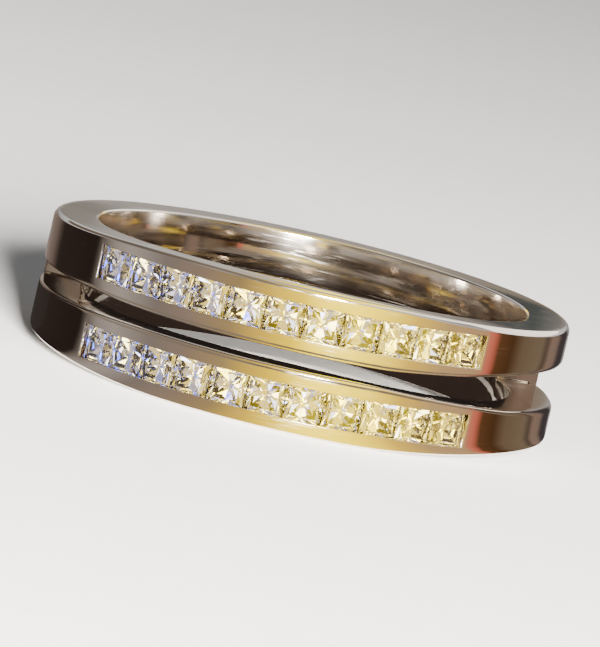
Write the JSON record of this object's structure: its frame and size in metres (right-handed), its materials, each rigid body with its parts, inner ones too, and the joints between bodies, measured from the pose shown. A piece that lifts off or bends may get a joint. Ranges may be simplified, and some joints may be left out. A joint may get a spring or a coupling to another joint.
{
  "type": "double row band ring",
  "caption": "Finger ring of two parallel polished rows joined at the back, each with a channel of square cut stones across its front.",
  "frame": {"origin": "on the ring's axis, at its lowest plane when it lies on its side", "axes": "+Z along the finger hole, towards the fingertip; -Y from the axis towards the middle of the stones"},
  "size_m": [0.0208, 0.0208, 0.0056],
  "materials": {
    "metal": "polished pale warm white gold with fine wear",
    "stone": "clear, cut and polished"
  },
  "bodies": {
    "root": {"double_band": "metal", "stone_lower_01": "stone", "stone_lower_02": "stone", "stone_lower_03": "stone", "stone_lower_04": "stone", "stone_lower_05": "stone", "stone_lower_06": "stone", "stone_lower_07": "stone", "stone_lower_08": "stone", "stone_lower_09": "stone", "stone_lower_10": "stone", "stone_lower_11": "stone", "stone_upper_01": "stone", "stone_upper_02": "stone", "stone_upper_03": "stone", "stone_upper_04": "stone", "stone_upper_05": "stone", "stone_upper_06": "stone", "stone_upper_07": "stone", "stone_upper_08": "stone", "stone_upper_09": "stone", "stone_upper_10": "stone", "stone_upper_11": "stone"}
  },
  "joints": []
}
